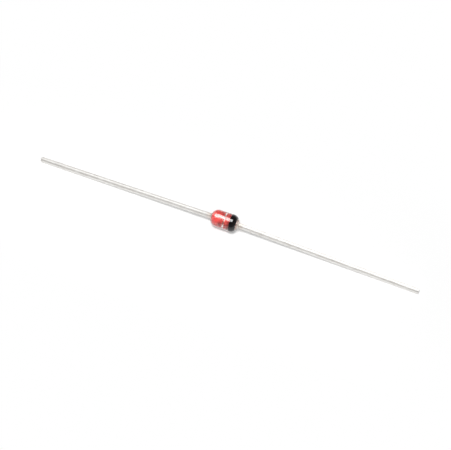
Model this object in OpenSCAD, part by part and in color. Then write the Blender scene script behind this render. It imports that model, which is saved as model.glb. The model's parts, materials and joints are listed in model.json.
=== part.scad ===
// Axial-lead glass diode. A glass sleeve is fused on two copper-clad plugs that clamp a silicon
// chip between them, a wire lead is welded to each plug, and a painted band marks the cathode end.
// X runs along the body with the cathode at +X, Z is up, and Z = 0 is the surface the part lies on:
// the band and the tips of both leads touch it.

/* [Glass sleeve] */
// Outside diameter of the sleeve
glass_diameter = 2.66; // [2.3:0.02:3.2]
// Radius of the fire-rounded shoulder at the anode end
anode_shoulder = 0.94; // [0.1:0.02:1]
// Radius of the fire-rounded shoulder at the cathode end
cathode_shoulder = 0.96; // [0.1:0.02:1]

/* [Plugs] */
// Length of the body from the face of one plug to the face of the other
body_length = 4.12; // [3.4:0.02:5]
// Diameter of the plugs, and of the bore that the glass is fused to
plug_diameter = 1.7; // [1.5:0.05:1.9]
// How far the anode plug stands out past the end of the sleeve
anode_overhang = 0.06; // [0.02:0.02:0.3]
// How far the cathode plug stands out past the end of the sleeve
cathode_overhang = 0.08; // [0.02:0.02:0.3]
// Radius of the rounded rims of the plugs
plug_edge = 0.1; // [0.04:0.02:0.16]

/* [Chip] */
// Side of the square silicon chip
chip_side = 0.9; // [0.5:0.05:0.95]
// Thickness of the chip
chip_thickness = 0.14; // [0.12:0.02:0.4]
// Diameter of the silver bump on the chip's anode face
bump_diameter = 0.55; // [0.3:0.05:0.75]
// Height of the silver bump
bump_height = 0.05; // [0.04:0.01:0.15]
// Radius of the bump's rims
bump_edge = 0.02; // [0.01:0.01:0.03]
// Side of the square silver pad under the chip's cathode face
pad_side = 0.8; // [0.4:0.05:0.9]
// Thickness of the silver pad
pad_thickness = 0.02; // [0.02:0.01:0.08]

/* [Leads] */
// Length of each lead from its plug to its tip
lead_length = 29.2; // [20:0.2:40]
// Diameter of the wire
lead_diameter = 0.8; // [0.6:0.02:0.9]
// Diameter of the weld bead where the wire joins its plug
weld_diameter = 1.1; // [0.96:0.02:1.3]
// Length of the weld bead along the wire
weld_length = 0.24; // [0.14:0.02:0.4]
// Length of the chamfer at each cut tip
tip_chamfer = 0.1; // [0.02:0.02:0.2]

/* [Cathode band] */
// Width of the band along the body
band_width = 1.04; // [0.4:0.02:1.3]
// Bare glass left between the band and the end of the sleeve
band_margin = 0.04; // [0.02:0.02:0.4]
// Thickness of the paint
band_thickness = 0.03; // [0.02:0.01:0.06]

/* [Hidden] */
$fn = 96;

glass_colour = [0.93, 0.86, 0.82, 0.45];
plug_colour = [0.80, 0.24, 0.21];
chip_colour = [0.28, 0.29, 0.32];
silver_colour = [0.86, 0.86, 0.85];
lead_colour = [0.80, 0.79, 0.77];
band_colour = [0.05, 0.04, 0.05];

glass_radius = glass_diameter / 2;
plug_radius = plug_diameter / 2;
plug_face = body_length / 2;
glass_start = anode_overhang - plug_face;
glass_stop = plug_face - cathode_overhang;
lead_radius = lead_diameter / 2;

// A shoulder's arc runs from the outside of the sleeve down to its bore, and what is left of the arc is
// past the end of the sleeve. A shoulder that is smaller than the wall leaves a flat end.
wall = glass_radius - plug_radius;
function arc_reach(shoulder) = shoulder > wall ? sqrt(shoulder ^ 2 - (shoulder - wall) ^ 2) : shoulder;
arc_low = glass_start + arc_reach(anode_shoulder) - anode_shoulder;
arc_high = glass_stop - arc_reach(cathode_shoulder) + cathode_shoulder;

// The bead's arc is widest at the plug's face and runs out on the wire at the bead's length
weld_radius = weld_diameter / 2;
bead_arc_centre = (weld_radius ^ 2 - lead_radius ^ 2 - weld_length ^ 2) / (weld_diameter - lead_diameter);
bead_arc_radius = weld_radius - bead_arc_centre;

// The stack between the plugs is bump, chip and pad, and its middle is the middle of the body
stack_height = bump_height + chip_thickness + pad_thickness;
stack_start = -stack_height / 2;
chip_start = stack_start + bump_height;
pad_start = chip_start + chip_thickness;
stack_end = pad_start + pad_thickness;

band_end = glass_stop - band_margin;
band_start = band_end - band_width;

// The axis stands as high as the band's radius, and each lead droops until its tip touches Z = 0
axis_height = glass_radius + band_thickness;
shank_length = lead_length - tip_chamfer;
droop = asin(axis_height / norm([shank_length, lead_radius])) - atan2(lead_radius, shank_length);

// A rim is rounded over less than half of its rod's length
rim_share = 0.45;
function rim(edge, length) = min(edge, rim_share * length);

// Half section of a rod with rounded rims: radius across the page, the rod's axis up it
module rod_section(radius, low, high, low_edge, high_edge) {
    low_rim = rim(low_edge, high - low);
    high_rim = rim(high_edge, high - low);
    translate([0, low + low_rim])
        square([radius, high - low - low_rim - high_rim]);
    translate([0, low])
        rim_section(radius, low_rim, low_rim);
    translate([0, high - high_rim])
        rim_section(radius, high_rim, 0);
}

// One rim of the rod: a flat and a quarter disc beside it, whose arc is centred at the height given
module rim_section(radius, edge, arc_height) {
    square([radius - edge, edge]);
    intersection() {
        translate([radius - edge, arc_height])
            circle(r = edge);
        translate([radius - edge, 0])
            square(edge);
    }
}

// Turns a half section about the body's axis
module turned() {
    translate([0, 0, axis_height])
        rotate([0, 90, 0])
            rotate_extrude()
                children();
}

// A square plate across the body's axis
module plate(side, start, thickness) {
    translate([start, -side / 2, axis_height - side / 2])
        cube([thickness, side, side]);
}

// Half section of the sleeve's outside with paint of the thickness given
module outside_section(paint) {
    rod_section(glass_radius + paint, arc_low - paint, arc_high + paint,
        anode_shoulder + paint, cathode_shoulder + paint);
}

module glass_sleeve() {
    color(glass_colour)
        turned()
            difference() {
                outside_section(0);
                translate([0, -body_length])
                    square([plug_radius, 2 * body_length]);
            }
}

module anode_plug() {
    color(plug_colour)
        turned()
            rod_section(plug_radius, -plug_face, stack_start, plug_edge, plug_edge);
}

module cathode_plug() {
    color(plug_colour)
        turned()
            rod_section(plug_radius, stack_end, plug_face, plug_edge, plug_edge);
}

module silicon_chip() {
    color(chip_colour)
        plate(chip_side, chip_start, chip_thickness);
}

module anode_bump() {
    color(silver_colour)
        turned()
            rod_section(bump_diameter / 2, stack_start, chip_start, bump_edge, bump_edge);
}

module cathode_pad() {
    color(silver_colour)
        plate(pad_side, pad_start, pad_thickness);
}

// Half section of a lead, with the middle of its plug's face at 0: weld bead, shank and chamfered tip
module lead_section() {
    intersection() {
        translate([bead_arc_centre, 0])
            circle(r = bead_arc_radius);
        translate([0, -lead_length])
            square([lead_length, 2 * lead_length]);
    }
    polygon([
        [0, -weld_length],
        [lead_radius, -weld_length],
        [lead_radius, shank_length],
        [lead_radius - tip_chamfer, lead_length],
        [0, lead_length]
    ]);
}

// Lead on the +X side, cut flat where it is welded to the face of its plug
module lead() {
    color(lead_colour)
        difference() {
            translate([plug_face, 0, axis_height])
                rotate([0, 90 + droop, 0])
                    rotate_extrude()
                        lead_section();
            translate([plug_face - body_length, -body_length / 2, axis_height - body_length / 2])
                cube(body_length);
        }
}

module anode_lead() {
    mirror([1, 0, 0])
        lead();
}

module cathode_lead() {
    lead();
}

module cathode_band() {
    color(band_colour)
        turned()
            intersection() {
                difference() {
                    outside_section(band_thickness);
                    outside_section(0);
                }
                translate([0, band_start])
                    square([glass_diameter, band_width]);
            }
}

glass_sleeve();
anode_plug();
cathode_plug();
silicon_chip();
anode_bump();
cathode_pad();
anode_lead();
cathode_lead();
cathode_band();
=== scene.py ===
import json
import math

import bmesh
import bpy
from mathutils import Matrix, Vector


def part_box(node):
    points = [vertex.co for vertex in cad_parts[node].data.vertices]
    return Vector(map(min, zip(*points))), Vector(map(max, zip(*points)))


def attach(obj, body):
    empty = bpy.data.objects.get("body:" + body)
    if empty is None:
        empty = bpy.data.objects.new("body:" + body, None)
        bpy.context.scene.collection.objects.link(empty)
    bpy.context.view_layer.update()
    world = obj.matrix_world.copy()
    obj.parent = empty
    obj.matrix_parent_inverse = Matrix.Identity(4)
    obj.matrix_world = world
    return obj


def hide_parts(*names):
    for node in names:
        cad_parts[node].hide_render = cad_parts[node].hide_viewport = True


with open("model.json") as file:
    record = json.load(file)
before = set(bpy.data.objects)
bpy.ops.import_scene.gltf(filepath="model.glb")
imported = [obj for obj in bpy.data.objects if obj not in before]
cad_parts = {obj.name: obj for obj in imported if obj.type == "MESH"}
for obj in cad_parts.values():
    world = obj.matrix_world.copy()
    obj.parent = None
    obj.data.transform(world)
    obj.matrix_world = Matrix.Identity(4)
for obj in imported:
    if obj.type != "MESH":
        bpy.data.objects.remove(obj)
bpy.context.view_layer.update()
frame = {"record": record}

mm = 0.001
mergeGap = 1e-7  # points closer than this are one
planeGap = 1e-6  # points this close to a plane lie on it
setIn = 0.01 * mm  # how far a piece is set into the one that carries it

# places that the solids give
glassLow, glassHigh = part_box("glass_sleeve")
plugLow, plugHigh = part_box("cathode_plug")
bandLow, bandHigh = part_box("cathode_band")
axisHeight = (glassLow.z + glassHigh.z) / 2
glassRadius = (glassHigh.z - glassLow.z) / 2
plugRadius = (plugHigh.z - plugLow.z) / 2
bodyAxis = Vector((1, 0, 0))
bodyMiddle = Vector((0, 0, axisHeight))
wireMounts = {mount["name"]: mount for mount in frame["record"]["mounts"]}


# modelling helpers

def deselectAll():
    if bpy.context.mode != "OBJECT":
        bpy.ops.object.mode_set(mode="OBJECT")
    bpy.ops.object.select_all(action="DESELECT")


def pick(kind, test):
    bpy.ops.mesh.select_mode(type=kind)
    bpy.ops.mesh.select_all(action="DESELECT")
    mesh = bpy.context.edit_object.data
    shape = bmesh.from_edit_mesh(mesh)
    for part in {"VERT": shape.verts, "EDGE": shape.edges, "FACE": shape.faces}[kind]:
        if test(part):
            part.select_set(True)
    shape.select_flush_mode()
    bmesh.update_edit_mesh(mesh)


def atX(x):
    return lambda part: all(abs(corner.co.x - x) < planeGap for corner in part.verts)


def startPiece(name):
    piece = bpy.context.object
    piece.name = name
    piece.data.name = name
    bpy.ops.object.transform_apply(location=True, rotation=True, scale=True)
    bpy.ops.object.mode_set(mode="EDIT")
    return piece


# draws a half section point by point, to be turned about an axis
def drawOutline(name, points):
    deselectAll()
    bpy.ops.mesh.primitive_plane_add(size=setIn, location=points[0])
    piece = startPiece(name)
    bpy.ops.mesh.select_mode(type="VERT")
    bpy.ops.mesh.select_all(action="SELECT")
    bpy.ops.mesh.merge(type="CENTER")
    for here, there in zip(points, points[1:]):
        bpy.ops.mesh.extrude_vertices_move(TRANSFORM_OT_translate={"value": there - here})
    return piece


def turnOutline(steps, centre, axis):
    bpy.ops.mesh.select_all(action="SELECT")
    bpy.ops.mesh.remove_doubles(threshold=mergeGap)
    bpy.ops.mesh.spin(steps=steps, angle=2 * math.pi, center=centre, axis=axis)
    bpy.ops.mesh.select_all(action="SELECT")
    bpy.ops.mesh.remove_doubles(threshold=mergeGap)
    bpy.ops.mesh.normals_make_consistent(inside=False)
    bpy.ops.object.mode_set(mode="OBJECT")


def bodyPoint(x, radius):
    return Vector((x, 0, axisHeight + radius))


def spaced(start, end, steps):
    return [start + (end - start) * step / steps for step in range(steps + 1)]


# pushes a finished mesh by the weights of a group, evenly or in and out by a soft cloud pattern
def pushSurface(piece, height, group, direction="NORMAL", grain=None):
    push = piece.modifiers.new("push", "DISPLACE")
    push.direction = direction
    push.strength = height
    push.mid_level = 0
    push.vertex_group = group
    if grain:
        push.texture = bpy.data.textures.new(piece.name + "Clouds", type="CLOUDS")
        push.texture.noise_scale = grain
        push.texture.noise_depth = 1
        push.texture_coords = "LOCAL"
        push.mid_level = 0.5
    bpy.ops.object.modifier_apply(modifier=push.name)


# weights run from 1 where the test gives 0 to nothing where it gives 1
def softGroup(piece, name, test):
    group = piece.vertex_groups.new(name=name)
    for corner in piece.data.vertices:
        weight = 1 - test(corner.co)
        if weight > 0:
            group.add([corner.index], min(weight, 1), "REPLACE")
    return group.name


def dress(piece, node, material, sharpAngle=40):
    if bpy.context.mode != "OBJECT":
        bpy.ops.object.mode_set(mode="OBJECT")
    bpy.ops.object.shade_smooth_by_angle(angle=math.radians(sharpAngle))
    piece.data.materials.clear()
    piece.data.materials.append(material)
    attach(piece, "root")
    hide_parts(node)
    print("made", piece.name, "with", len(piece.data.polygons), "faces")


# material helpers

# object coordinates counted in millimetres, turned about Y where a pattern follows a lead
def startMaterial(name, turn=0):
    material = bpy.data.materials.new(name)
    material.use_nodes = True
    nodes = material.node_tree.nodes
    links = material.node_tree.links
    coordinates = nodes.new("ShaderNodeTexCoord")
    place = nodes.new("ShaderNodeMapping")
    place.inputs["Scale"].default_value = (1 / mm, 1 / mm, 1 / mm)
    place.inputs["Rotation"].default_value = (0, turn, 0)
    links.new(coordinates.outputs["Object"], place.inputs["Vector"])
    return material, nodes, links, nodes["Principled BSDF"], place.outputs["Vector"]


def stretched(nodes, links, vector, scale):
    mapping = nodes.new("ShaderNodeMapping")
    mapping.inputs["Scale"].default_value = scale
    links.new(vector, mapping.inputs["Vector"])
    return mapping.outputs["Vector"]


def noise(nodes, links, vector, grain):
    node = nodes.new("ShaderNodeTexNoise")
    for socket, number in zip(("Scale", "Detail", "Roughness"), grain):
        node.inputs[socket].default_value = number
    links.new(vector, node.inputs["Vector"])
    return node.outputs["Fac"]


def ramp(nodes, links, value, stops):
    node = nodes.new("ShaderNodeValToRGB")
    elements = node.color_ramp.elements
    while len(elements) < len(stops):
        elements.new(0.5)
    for element, (position, colour) in zip(elements, stops):
        element.position = position
        element.color = (*colour, 1)
    links.new(value, node.inputs["Fac"])
    return node.outputs["Color"]


def mapped(nodes, links, value, fromLow, fromHigh, toLow, toHigh):
    node = nodes.new("ShaderNodeMapRange")
    sockets = ("From Min", "From Max", "To Min", "To Max")
    for socket, number in zip(sockets, (fromLow, fromHigh, toLow, toHigh)):
        node.inputs[socket].default_value = number
    links.new(value, node.inputs["Value"])
    return node.outputs["Result"]


def distanceTo(nodes, links, vector, point):
    node = nodes.new("ShaderNodeVectorMath")
    node.operation = "DISTANCE"
    links.new(vector, node.inputs[0])
    node.inputs[1].default_value = point
    return node.outputs["Value"]


# the colour sockets of a mix are picked by number, because their names repeat
def mixed(nodes, links, amount, first, second, blend="MIX"):
    node = nodes.new("ShaderNodeMix")
    node.data_type = "RGBA"
    node.blend_type = blend
    for socket, source in ((node.inputs[0], amount), (node.inputs[6], first), (node.inputs[7], second)):
        if isinstance(source, bpy.types.NodeSocket):
            links.new(source, socket)
        else:
            socket.default_value = source
    return node.outputs[2]


def calculated(nodes, links, operation, first, second):
    node = nodes.new("ShaderNodeMath")
    node.operation = operation
    for socket, source in zip(node.inputs, (first, second)):
        if isinstance(source, bpy.types.NodeSocket):
            links.new(source, socket)
        else:
            socket.default_value = source
    return node.outputs["Value"]


def bumped(nodes, links, shader, pattern, height):
    node = nodes.new("ShaderNodeBump")
    node.inputs["Distance"].default_value = height
    node.inputs["Strength"].default_value = 1
    links.new(pattern, node.inputs["Height"])
    links.new(node.outputs["Normal"], shader.inputs["Normal"])


# finishes: a noise has its scale per millimetre, its detail and its harshness, and a ramp its stops

noiseRange = (0.3, 0.7)  # where most of a noise's values lie

clearGlassLook = {
    "tint": (0.99, 0.925, 0.895),
    "bend": 1.57,  # lead glass
    "patches": (1.3, 2, 0.5),
    "patchRange": (0.35, 0.75),
    "haze": (0.12, 0.20),
    "ripples": (1.8, 1, 0.5),
    "rippleHeight": 0.0002 * mm,
    "gloss": 1.0,  # fire-polished skin
    "glossBend": 1.57,
    "glossHaze": 0.31,
}


def makeClearGlass():
    look = clearGlassLook
    material, nodes, links, shader, place = startMaterial("clearGlass")
    shader.inputs["Base Color"].default_value = (*look["tint"], 1)
    shader.inputs["Transmission Weight"].default_value = 1
    shader.inputs["IOR"].default_value = look["bend"]
    shader.inputs["Coat Weight"].default_value = look["gloss"]
    shader.inputs["Coat IOR"].default_value = look["glossBend"]
    shader.inputs["Coat Roughness"].default_value = look["glossHaze"]
    patches = noise(nodes, links, place, look["patches"])
    haze = mapped(nodes, links, patches, *look["patchRange"], *look["haze"])
    links.new(haze, shader.inputs["Roughness"])
    bumped(nodes, links, shader, noise(nodes, links, place, look["ripples"]), look["rippleHeight"])
    return material


copperLook = {
    "clouds": (1.7, 4, 0.6),
    "oxide": (
        (0.28, (0.74, 0.040, 0.042)),
        (0.52, (0.90, 0.100, 0.090)),
        (0.74, (0.95, 0.170, 0.135)),
    ),
    "streaks": (1.0, 3, 0.5),
    "streakStretch": (0.5, 9, 9),
    "streakShade": ((0.35, (0.82, 0.82, 0.82)), (0.6, (1, 1, 1))),
    "streakDepth": 0.6,
    "tinned": (0.64, 0.49, 0.43),  # outside the glass
    "tinnedFrom": (-2.03, 1.92),  # mm along the body
    "tinnedFade": 0.05,
    # painted shade: its colour, and spots of it beside the gap's lower side
    "paintedShade": (0.20, 0.018, 0.014),
    "paintedShadeSpots": (  # mm from the body's middle, reach and depth
        ((-0.55, -0.80, 0.12), 0.50, 0.9),
        ((0.36, -0.80, 0.18), 0.42, 0.6),
    ),
    # painted shade towards the anode end, towards the gap and under the band's edge
    "paintedShadeEnds": (  # mm along the body where the dark starts, where it is deepest, and its depth
        (-1.65, -2.0, 0.3),
        (-1.1, -0.3, 0.3),
        (0.55, 0.86, 0.85),
    ),
    "bare": (0.95, 0.30, 0.25),  # faces on either side of the chip
    "bareFrom": (0.16, 0.12),  # mm from the body's middle
    "metal": 0.5,
    "gloss": 0.15,  # under glass
    "roughness": (0.34, 0.52),
    "streakHeight": 0.004 * mm,
}


def makeCopperClad():
    look = copperLook
    material, nodes, links, shader, place = startMaterial("copperClad")
    clouds = noise(nodes, links, place, look["clouds"])
    streaks = noise(nodes, links, stretched(nodes, links, place, look["streakStretch"]), look["streaks"])
    oxide = ramp(nodes, links, clouds, look["oxide"])
    shade = ramp(nodes, links, streaks, look["streakShade"])
    red = mixed(nodes, links, look["streakDepth"], oxide, shade, "MULTIPLY")
    # painted shade in spots beside the gap's lower side
    for centre, reach, depth in look["paintedShadeSpots"]:
        away = distanceTo(nodes, links, place, bodyMiddle / mm + Vector(centre))
        amount = mapped(nodes, links, away, reach, 0, 0, depth)
        red = mixed(nodes, links, amount, red, (*look["paintedShade"], 1))
    parts = nodes.new("ShaderNodeSeparateXYZ")
    links.new(place, parts.inputs["Vector"])
    alongBody = parts.outputs["X"]
    # painted shade towards the anode end, the gap and under the band's edge
    for start, end, depth in look["paintedShadeEnds"]:
        amount = mapped(nodes, links, alongBody, start, end, 0, depth)
        red = mixed(nodes, links, amount, red, (*look["paintedShade"], 1))
    fromMiddle = calculated(nodes, links, "ABSOLUTE", alongBody, 0)
    amount = mapped(nodes, links, fromMiddle, *look["bareFrom"], 0, 1)
    red = mixed(nodes, links, amount, red, (*look["bare"], 1))
    low, high = look["tinnedFrom"]
    fade = look["tinnedFade"]
    first, last = low - 2 * fade, high + 2 * fade
    share = mapped(nodes, links, alongBody, first, last, 0, 1)
    changes = ((low - fade, 1), (low + fade, 0), (high - fade, 0), (high + fade, 1))
    outside = ramp(nodes, links, share, [
        ((x - first) / (last - first), (tin, tin, tin)) for x, tin in changes])
    links.new(mixed(nodes, links, outside, red, (*look["tinned"], 1)), shader.inputs["Base Color"])
    links.new(mapped(nodes, links, streaks, *noiseRange, *look["roughness"]), shader.inputs["Roughness"])
    shader.inputs["Metallic"].default_value = look["metal"]
    shader.inputs["Specular IOR Level"].default_value = look["gloss"]
    bumped(nodes, links, shader, streaks, look["streakHeight"])
    return material


siliconLook = {
    "marks": (1.0, 2, 0.5),  # of the saw
    "markStretch": (40, 3, 3),
    # the pink in these colours is a painted reflection of the red plugs
    "colours": ((0.3, (0.60, 0.36, 0.34)), (0.7, (0.78, 0.51, 0.48))),
    "metal": 0.8,
    "roughness": (0.25, 0.5),
    "markHeight": 0.003 * mm,
}


def makeSilicon():
    look = siliconLook
    material, nodes, links, shader, place = startMaterial("silicon")
    marks = noise(nodes, links, stretched(nodes, links, place, look["markStretch"]), look["marks"])
    links.new(ramp(nodes, links, marks, look["colours"]), shader.inputs["Base Color"])
    links.new(mapped(nodes, links, marks, *noiseRange, *look["roughness"]), shader.inputs["Roughness"])
    shader.inputs["Metallic"].default_value = look["metal"]
    bumped(nodes, links, shader, marks, look["markHeight"])
    return material


silverLook = {
    "clouds": (9, 4, 0.6),
    "colours": ((0.3, (0.72, 0.70, 0.66)), (0.65, (0.90, 0.89, 0.87))),
    "metal": 1.0,
    "roughness": (0.22, 0.42),
    "cloudHeight": 0.003 * mm,
}


def makeSilver():
    look = silverLook
    material, nodes, links, shader, place = startMaterial("platedSilver")
    clouds = noise(nodes, links, place, look["clouds"])
    links.new(ramp(nodes, links, clouds, look["colours"]), shader.inputs["Base Color"])
    links.new(mapped(nodes, links, clouds, *noiseRange, *look["roughness"]), shader.inputs["Roughness"])
    shader.inputs["Metallic"].default_value = look["metal"]
    bumped(nodes, links, shader, clouds, look["cloudHeight"])
    return material


tinnedLook = {
    "mottle": (0.9, 5, 0.6),
    "colours": ((0.30, (0.885, 0.862, 0.83)), (0.62, (0.97, 0.955, 0.93))),
    # weld heat tint near the plug, with a painted reflection of the red body in it
    "heatAndReflectionTint": (0.66, 0.50, 0.40),
    "heatAndReflectionReach": (1.2, 0.2),  # mm from the plug, where the tint ends and is strongest
    "heatAndReflectionDepth": 0.55,
    "metal": 1.0,
    "lines": (1.0, 3, 0.5),  # of the drawing
    "lineStretch": (0.12, 14, 14),
    "roughness": (0.54, 0.70),
    "lineHeight": 0.004 * mm,
}


def makeTinnedWire(name, root, turn):
    look = tinnedLook
    material, nodes, links, shader, place = startMaterial(name, turn)
    tin = ramp(nodes, links, noise(nodes, links, place, look["mottle"]), look["colours"])
    lines = noise(nodes, links, stretched(nodes, links, place, look["lineStretch"]), look["lines"])
    away = distanceTo(nodes, links, place, root)
    # weld heat tint and painted reflection of the red body, near the plug
    heatAndReflection = mapped(nodes, links, away, *look["heatAndReflectionReach"], 0, look["heatAndReflectionDepth"])
    links.new(mixed(nodes, links, heatAndReflection, tin, (*look["heatAndReflectionTint"], 1)), shader.inputs["Base Color"])
    links.new(mapped(nodes, links, lines, *noiseRange, *look["roughness"]), shader.inputs["Roughness"])
    shader.inputs["Metallic"].default_value = look["metal"]
    bumped(nodes, links, shader, lines, look["lineHeight"])
    return material


paintLook = {
    "clouds": (2.2, 4, 0.5),
    "colours": ((0.35, (0.0025, 0.0015, 0.002)), (0.75, (0.009, 0.006, 0.006))),
    "roughness": (0.08, 0.2),
    "gloss": 0.6,
    "peel": (7, 1, 0.5),
    "peelHeight": 0.0006 * mm,
}


def makeBlackPaint():
    look = paintLook
    material, nodes, links, shader, place = startMaterial("blackPaint")
    clouds = noise(nodes, links, place, look["clouds"])
    links.new(ramp(nodes, links, clouds, look["colours"]), shader.inputs["Base Color"])
    links.new(mapped(nodes, links, clouds, *noiseRange, *look["roughness"]), shader.inputs["Roughness"])
    shader.inputs["Specular IOR Level"].default_value = look["gloss"]
    bumped(nodes, links, shader, noise(nodes, links, place, look["peel"]), look["peelHeight"])
    return material


# glass sleeve: fire-rounded shoulders, and a bore that is set into the plugs

glassSleeve = {
    "anodeShoulder": 0.94 * mm,
    "cathodeShoulder": 0.96 * mm,
    "shoulderSteps": 20,
    "lengthSteps": 40,
    "turnSteps": 128,
    "wave": 0.0005 * mm,
    "waveGrain": 1.2 * mm,
}


# how far along the body a shoulder's arc runs, from the outside down to the bore
def arcReach(shoulder):
    return math.sqrt(shoulder ** 2 - (shoulder - glassRadius + plugRadius) ** 2)


anodeBend = glassLow.x + arcReach(glassSleeve["anodeShoulder"])  # where the shoulders start
cathodeBend = glassHigh.x - arcReach(glassSleeve["cathodeShoulder"])


def shoulderPoint(bend, shoulder, angle, paint=0):
    x = bend + (shoulder + paint) * math.sin(angle)
    return bodyPoint(x, glassRadius - shoulder + (shoulder + paint) * math.cos(angle))


def boreAngle(shoulder, bore):
    return math.acos((bore - glassRadius + shoulder) / shoulder)


def makeGlassSleeve():
    size = glassSleeve
    bore = plugRadius - setIn
    anodeTurn = boreAngle(size["anodeShoulder"], bore)
    cathodeTurn = boreAngle(size["cathodeShoulder"], bore)
    points = [
        shoulderPoint(anodeBend, size["anodeShoulder"], angle)
        for angle in spaced(-anodeTurn, 0, size["shoulderSteps"])
    ]
    points += [bodyPoint(x, glassRadius) for x in spaced(anodeBend, cathodeBend, size["lengthSteps"])[1:-1]]
    points += [
        shoulderPoint(cathodeBend, size["cathodeShoulder"], angle)
        for angle in spaced(0, cathodeTurn, size["shoulderSteps"])
    ]
    points += [bodyPoint(x, bore) for x in spaced(points[-1].x, points[0].x, size["lengthSteps"])[1:]]
    piece = drawOutline("glassSleeve", points)
    turnOutline(size["turnSteps"], bodyMiddle, bodyAxis)
    outside = softGroup(piece, "outside", lambda place: (place - bodyMiddle).yz.length < bore + setIn)
    pushSurface(piece, size["wave"], outside, grain=size["waveGrain"])
    dress(piece, "glass_sleeve", makeClearGlass())
    return piece


# plugs: rounded rims, with a faint land on the face that the lead is welded to

plugs = {
    "rim": 0.04 * mm,
    "rimSteps": 8,
    "turnSteps": 96,
    "landInset": 0.06 * mm,
    "landDepth": 0.008 * mm,
    "sharpAngle": 30,
}


def makePlug(name, node, outerFace, innerFace, material):
    size = plugs
    deselectAll()
    bpy.ops.mesh.primitive_cylinder_add(
        vertices=size["turnSteps"], radius=plugRadius, depth=abs(outerFace - innerFace),
        location=((outerFace + innerFace) / 2, 0, axisHeight), rotation=(0, math.pi / 2, 0))
    piece = startPiece(name)
    pick("EDGE", lambda edge: atX(outerFace)(edge) or atX(innerFace)(edge))
    bpy.ops.mesh.bevel(offset=size["rim"], segments=size["rimSteps"], affect="EDGES")
    pick("FACE", atX(outerFace))
    bpy.ops.mesh.inset(thickness=size["landInset"])
    inwards = math.copysign(size["landDepth"], innerFace - outerFace)
    bpy.ops.mesh.inset(thickness=size["landDepth"])
    bpy.ops.transform.translate(value=(inwards, 0, 0))
    dress(piece, node, material, size["sharpAngle"])
    return piece


# chip: a sawn square of silicon with a raised table on the anode side

chip = {
    "tableInset": 0.12 * mm,
    "tableStep": 0.04 * mm,
    "edge": 0.012 * mm,
    "edgeSteps": 2,
    "sharpAngle": 30,
}


def makeChip():
    size = chip
    low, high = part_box("silicon_chip")
    deselectAll()
    bpy.ops.mesh.primitive_cube_add(size=1, location=(low + high) / 2)
    bpy.context.object.scale = high - low
    piece = startPiece("siliconChip")
    pick("FACE", atX(low.x))
    bpy.ops.mesh.inset(thickness=size["tableInset"])
    pick("VERT", lambda corner: min(abs(corner.co.y - low.y), abs(corner.co.y - high.y)) < mergeGap
         and abs(corner.co.x - low.x) < mergeGap)
    bpy.ops.transform.translate(value=(size["tableStep"], 0, 0))
    bpy.ops.mesh.select_mode(type="EDGE")
    bpy.ops.mesh.select_all(action="SELECT")
    bpy.ops.mesh.bevel(offset=size["edge"], segments=size["edgeSteps"], affect="EDGES")
    dress(piece, "silicon_chip", makeSilicon(), size["sharpAngle"])
    return piece


# silver bump on the anode side and silver pad on the cathode side

contacts = {
    "bumpRim": 0.02 * mm,
    "bumpRimSteps": 5,
    "bumpTurnSteps": 48,
    "bumpSharpAngle": 50,
    "padEdge": 0.008 * mm,
    "padEdgeSteps": 3,
    "padCrown": 0.05 * mm,
    "padSharpAngle": 30,  # its sharper edges are rounded
}


def makeBump(material):
    size = contacts
    low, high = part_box("anode_bump")
    deselectAll()
    bpy.ops.mesh.primitive_cylinder_add(
        vertices=size["bumpTurnSteps"], radius=(high.z - low.z) / 2, depth=high.x - low.x,
        location=(low + high) / 2, rotation=(0, math.pi / 2, 0))
    piece = startPiece("anodeBump")
    pick("EDGE", lambda edge: atX(low.x)(edge) or atX(high.x)(edge))
    bpy.ops.mesh.bevel(offset=size["bumpRim"], segments=size["bumpRimSteps"], affect="EDGES")
    dress(piece, "anode_bump", material, size["bumpSharpAngle"])
    return piece


def makePad(material):
    size = contacts
    low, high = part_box("cathode_pad")
    deselectAll()
    bpy.ops.mesh.primitive_cube_add(size=1, location=(low + high) / 2)
    bpy.context.object.scale = high - low
    piece = startPiece("cathodePad")
    pick("FACE", lambda face: atX(low.x)(face) or atX(high.x)(face))
    bpy.ops.mesh.inset(thickness=size["padCrown"])
    pick("EDGE", lambda edge: edge.calc_face_angle(0) > math.radians(size["padSharpAngle"]))
    bpy.ops.mesh.bevel(offset=size["padEdge"], segments=size["padEdgeSteps"], affect="EDGES")
    dress(piece, "cathode_pad", material, size["padSharpAngle"])
    return piece


# leads: weld bead, drawn wire and cut tip, turned about the wire's own axis

leads = {
    "length": 29.2 * mm,
    "beadRadius": 0.55 * mm,
    "beadLength": 0.24 * mm,
    "beadSteps": 12,
    "beadLump": 0.05 * mm,
    "beadGrain": 0.25 * mm,
    "buried": 3 * setIn,  # how far the bead is set into its plug
    "toe": 0.07 * mm,
    "toeSteps": 4,
    "wireSteps": 72,
    "tipSteps": 6,
    "turnSteps": 48,
}
tips = {
    "anode": {"round": 0.17 * mm, "shorter": 0.0},
    "cathode": {"round": 0.05 * mm, "shorter": 0.05 * mm},
}


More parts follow.
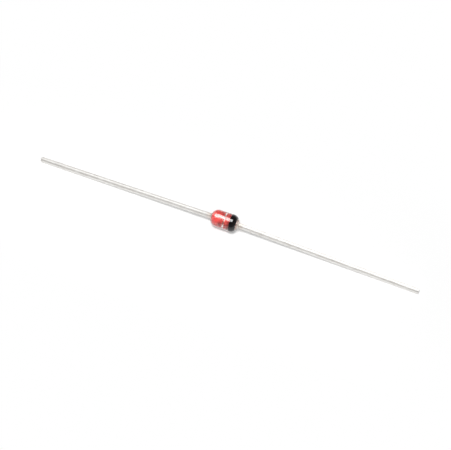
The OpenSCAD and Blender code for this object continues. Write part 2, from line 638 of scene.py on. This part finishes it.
def makeLead(name, node, mountName, tip):
    size = leads
    mount = wireMounts[mountName]
    along = Vector(mount["axis"])
    up = Vector((0, 0, 1))
    across = (up - along * up.dot(along)).normalized()
    side = math.copysign(1, along.x)
    root = Vector((side * plugHigh.x, 0, axisHeight))
    wire = mount["dims"]["r_mm"] * mm
    bead = size["beadRadius"]
    arcCentre = (bead ** 2 - wire ** 2 - size["beadLength"] ** 2) / (2 * (bead - wire))
    arcRadius = bead - arcCentre
    end = size["length"] - tip["shorter"]
    tipStart = end - tip["round"]

    outline = [(-size["buried"], 0)]
    outline += [
        (x, arcCentre + math.sqrt(arcRadius ** 2 - x ** 2))
        for x in spaced(-size["buried"], size["beadLength"], size["beadSteps"])
    ]
    outline += [(x, wire) for x in spaced(size["beadLength"], tipStart, size["wireSteps"])[1:]]
    outline += [
        (tipStart + tip["round"] * math.sin(angle), wire - tip["round"] * (1 - math.cos(angle)))
        for angle in spaced(0, math.pi / 2, size["tipSteps"])[1:]
    ]
    outline += [(end, 0)]
    piece = drawOutline(name, [root + along * x + across * radius for x, radius in outline])
    toe = root + along * size["beadLength"] + across * wire
    pick("VERT", lambda corner: (corner.co - toe).length < 2 * mergeGap)
    bpy.ops.mesh.bevel(offset=size["toe"], segments=size["toeSteps"], affect="VERTICES")
    turnOutline(size["turnSteps"], root, along)
    reach = 2 * size["beadLength"]
    lumps = softGroup(piece, "bead", lambda place: (place - root).dot(along) / reach)
    pushSurface(piece, size["beadLump"], lumps, grain=size["beadGrain"])
    turn = side * math.asin(-along.z)  # lays the material's lines along the wire
    turnedRoot = Matrix.Rotation(turn, 3, "Y") @ root / mm
    dress(piece, node, makeTinnedWire(name + "Tin", turnedRoot, turn))
    return piece


# cathode band: paint that lies on the glass and thins out at its edges

cathodeBand = {
    "thickness": 0.025 * mm,
    "feather": 0.07 * mm,
    "straightSteps": 16,
    "shoulderSteps": 16,
    "turnSteps": 128,
    "lean": 0.13 * mm,  # the inner edge stands further along on this side
    "leanSide": Vector((0, -0.8, -0.6)),
    "edgeWander": 0.06 * mm,
    "edgeGrain": 0.7 * mm,
    "edgeReach": 0.35 * mm,
}


def makeCathodeBand():
    size = cathodeBand
    shoulder = glassSleeve["cathodeShoulder"]
    lastAngle = math.asin((bandHigh.x - cathodeBend) / (shoulder + size["thickness"]))
    wholeWidth = cathodeBend - bandLow.x + lastAngle * shoulder

    def paint(distance):
        share = min(distance, wholeWidth - distance, size["feather"]) / size["feather"]
        return size["thickness"] * math.sin(share * math.pi / 2)

    outside = [
        bodyPoint(x, glassRadius + paint(x - bandLow.x))
        for x in spaced(bandLow.x, cathodeBend, size["straightSteps"])[:-1]
    ]
    outside += [
        shoulderPoint(cathodeBend, shoulder, angle, paint(cathodeBend - bandLow.x + angle * shoulder))
        for angle in spaced(0, lastAngle, size["shoulderSteps"])
    ]
    inside = [
        shoulderPoint(cathodeBend, shoulder, angle, -setIn)
        for angle in spaced(lastAngle, 0, size["shoulderSteps"])
    ]
    inside += [
        bodyPoint(x, glassRadius - setIn)
        for x in spaced(cathodeBend, bandLow.x, size["straightSteps"])[1:]
    ]
    piece = drawOutline("cathodeBand", outside + inside + outside[:1])
    turnOutline(size["turnSteps"], bodyMiddle, bodyAxis)

    def fromEdge(place):
        return min((place.x - bandLow.x) / size["edgeReach"], 1)

    def fromLean(place):
        around = Vector((0, place.y, place.z - axisHeight)).normalized()
        return 1 - (1 - fromEdge(place)) * (1 + around.dot(size["leanSide"])) / 2

    pushSurface(piece, size["lean"], softGroup(piece, "lean", fromLean), "X")
    pushSurface(piece, size["edgeWander"], softGroup(piece, "edge", fromEdge), "X", size["edgeGrain"])
    dress(piece, "cathode_band", makeBlackPaint())
    return piece


anodePlugLow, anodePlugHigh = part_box("anode_plug")
copperClad = makeCopperClad()
platedSilver = makeSilver()
sleeve = makeGlassSleeve()
innerPieces = [
    makePlug("anodePlug", "anode_plug", anodePlugLow.x, anodePlugHigh.x, copperClad),
    makePlug("cathodePlug", "cathode_plug", plugHigh.x, plugLow.x, copperClad),
    makeChip(),
    makeBump(platedSilver),
    makePad(platedSilver),
]
leadPieces = [
    makeLead("anodeLead", "anode_lead", "anode_lead_wire", tips["anode"]),
    makeLead("cathodeLead", "cathode_lead", "cathode_lead_wire", tips["cathode"]),
]
band = makeCathodeBand()


# table, light and camera

table = {
    "size": 3.0,
    "white": (0.98, 0.98, 0.98),
    "glow": 0.38,  # share of plain white that the lens, gloss and glass see
    "whiteFrom": (0.005, 0.018),  # metres from the leads where the lens sees more of it, and nothing else
    "alongShare": 0.15,  # how much a metre along the leads counts there
}


def makeTable():
    deselectAll()
    bpy.ops.mesh.primitive_plane_add(size=table["size"], location=(0, 0, 0))
    floor = bpy.context.object
    floor.name = "tableTop"
    material = bpy.data.materials.new("whiteTable")
    material.use_nodes = True
    nodes = material.node_tree.nodes
    links = material.node_tree.links
    nodes.remove(nodes["Principled BSDF"])
    matt = nodes.new("ShaderNodeBsdfDiffuse")
    matt.inputs["Color"].default_value = (*table["white"], 1)
    glow = nodes.new("ShaderNodeEmission")
    path = nodes.new("ShaderNodeLightPath")
    coordinates = nodes.new("ShaderNodeTexCoord")
    place = stretched(nodes, links, coordinates.outputs["Object"], (table["alongShare"], 1, 1))
    away = distanceTo(nodes, links, place, (0, 0, 0))
    far = mapped(nodes, links, away, *table["whiteFrom"], table["glow"], 1)
    share = calculated(nodes, links, "MULTIPLY", path.outputs["Is Camera Ray"], far)
    for ray in ("Is Glossy Ray", "Is Transmission Ray"):
        near = calculated(nodes, links, "MULTIPLY", path.outputs[ray], table["glow"])
        share = calculated(nodes, links, "MAXIMUM", share, near)
    both = nodes.new("ShaderNodeMixShader")
    links.new(share, both.inputs["Fac"])
    links.new(matt.outputs["BSDF"], both.inputs[1])
    links.new(glow.outputs["Emission"], both.inputs[2])
    links.new(both.outputs["Shader"], nodes["Material Output"].inputs["Surface"])
    material.cycles.emission_sampling = "NONE"  # the glow lights nothing
    floor.data.materials.append(material)
    return floor


# each lamp lights one group of pieces, and where a second is named, only those stand in its way
lampDistance = 0.30  # metres from the middle of the body
lamps = {
    "softBox": {  # its shadows lie on the table
        "towards": (-0.05, -0.14, 0.98),
        "size": (0.11, 0.07),  # along the body and across it
        "radiance": 36.0,
        "lights": "table",
    },
    "plugTopLight": {  # through the glass, from above
        "towards": (-0.05, 0.09, 0.98),
        "size": (0.20, 0.13),
        "radiance": 6.2,
        "lights": "inside",
        "stoppedBy": "solids",
    },
    "plugLight": {  # and from the front
        "towards": (-0.15, -0.87, 0.48),
        "size": (0.20, 0.16),
        "radiance": 2.6,
        "lights": "inside",
        "stoppedBy": "solids",
    },
    "shineLight": {  # glare on the glass
        "towards": (-0.29, 0.065, 0.957),
        "size": (0.37, 0.21),
        "radiance": 7.6,
        "lights": "glass",
    },
    "bandLight": {  # glare on the paint
        "towards": (-0.05, 0.06, 0.98),
        "size": (0.20, 0.17),
        "radiance": 13.5,
        "lights": "paint",
    },
    "leadTopLight": {  # from above
        "towards": (0, 0.21, 0.98),
        "size": (0.35, 0.30),
        "radiance": 2.8,
        "lights": "leads",
    },
    "leadLight": {  # off the table's near end
        "towards": (0, -0.97, 0.24),
        "size": (0.30, 0.16),
        "radiance": 0.6,
        "lights": "leads",
    },
    "backLight": {  # from behind
        "towards": (0.25, 0.80, 0.50),
        "size": (0.30, 0.26),
        "radiance": 0.9,
        "lights": "cathodeLead",
    },
}
room = {
    "overhead": 0.05,
    "sides": 0.22,
    "sidesTop": 0.35,  # heights on the sky's dome where the sides end and the overhead starts
    "overheadFrom": 0.85,
}


def gathered(name, pieces):
    group = bpy.data.collections.new(name)
    for piece in pieces:
        group.objects.link(piece)
    return group


def makeLamp(name, light, groups):
    data = bpy.data.lights.new(name, "AREA")
    data.shape = "RECTANGLE"
    data.size, data.size_y = light["size"]
    data.energy = light["radiance"] * math.pi * data.size * data.size_y
    lamp = bpy.data.objects.new(name, data)
    bpy.context.scene.collection.objects.link(lamp)
    towards = Vector(light["towards"]).normalized()
    along = (bodyAxis - towards * bodyAxis.dot(towards)).normalized()
    lamp.location = bodyMiddle + towards * lampDistance
    lamp.rotation_euler = Matrix((along, towards.cross(along), towards)).transposed().to_euler()
    lamp.light_linking.receiver_collection = gathered(name + "Lit", groups[light["lights"]])
    if "stoppedBy" in light:
        lamp.light_linking.blocker_collection = gathered(name + "InTheWay", groups[light["stoppedBy"]])


def makeLight(floor):
    groups = {
        "table": [floor],
        "inside": innerPieces,
        "solids": innerPieces + leadPieces + [band],
        "glass": [sleeve],
        "paint": [band],
        "leads": leadPieces,
        "cathodeLead": leadPieces[1:],
    }
    for name, light in lamps.items():
        makeLamp(name, light, groups)

    world = bpy.data.worlds.new("room")
    bpy.context.scene.world = world
    world.use_nodes = True
    nodes = world.node_tree.nodes
    links = world.node_tree.links
    coordinates = nodes.new("ShaderNodeTexCoord")
    parts = nodes.new("ShaderNodeSeparateXYZ")
    links.new(coordinates.outputs["Generated"], parts.inputs["Vector"])
    heights = (room["sidesTop"], room["overheadFrom"])
    level = mapped(nodes, links, parts.outputs["Z"], *heights, room["sides"], room["overhead"])
    seen = nodes.new("ShaderNodeLightPath").outputs["Is Camera Ray"]
    links.new(calculated(nodes, links, "MAXIMUM", seen, level), nodes["Background"].inputs["Strength"])
    nodes["Background"].inputs["Color"].default_value = (1, 1, 1, 1)


lens = {
    "azimuth": 21.49,  # degrees round from the front
    "elevation": 63.0,  # and up
    "distance": 178.7 * mm,
    "focal": 93.0,
    "right": 0.69,  # picture points that the view's middle lies right of the body
    "below": 4.50,  # and below it
    "pictureWidth": 451,
    "clip": (0.01, 10),
}


def makeCamera():
    around = math.radians(lens["azimuth"])
    above = math.radians(lens["elevation"])
    back = Vector((math.sin(around) * math.cos(above), -math.cos(around) * math.cos(above), math.sin(above)))
    right = Vector((math.cos(around), math.sin(around), 0))
    up = back.cross(right)
    data = bpy.data.cameras.new("camera")
    data.lens = lens["focal"]
    data.clip_start, data.clip_end = lens["clip"]
    point = lens["distance"] * data.sensor_width / data.lens / lens["pictureWidth"]
    camera = bpy.data.objects.new("camera", data)
    bpy.context.scene.collection.objects.link(camera)
    middle = bodyMiddle + (right * lens["right"] - up * lens["below"]) * point
    camera.location = middle + back * lens["distance"]
    camera.rotation_euler = back.to_track_quat("Z", "Y").to_euler()
    bpy.context.scene.camera = camera


makeLight(makeTable())
makeCamera()
bpy.context.scene.view_settings.view_transform = "Standard"
print("table, light and camera are set")
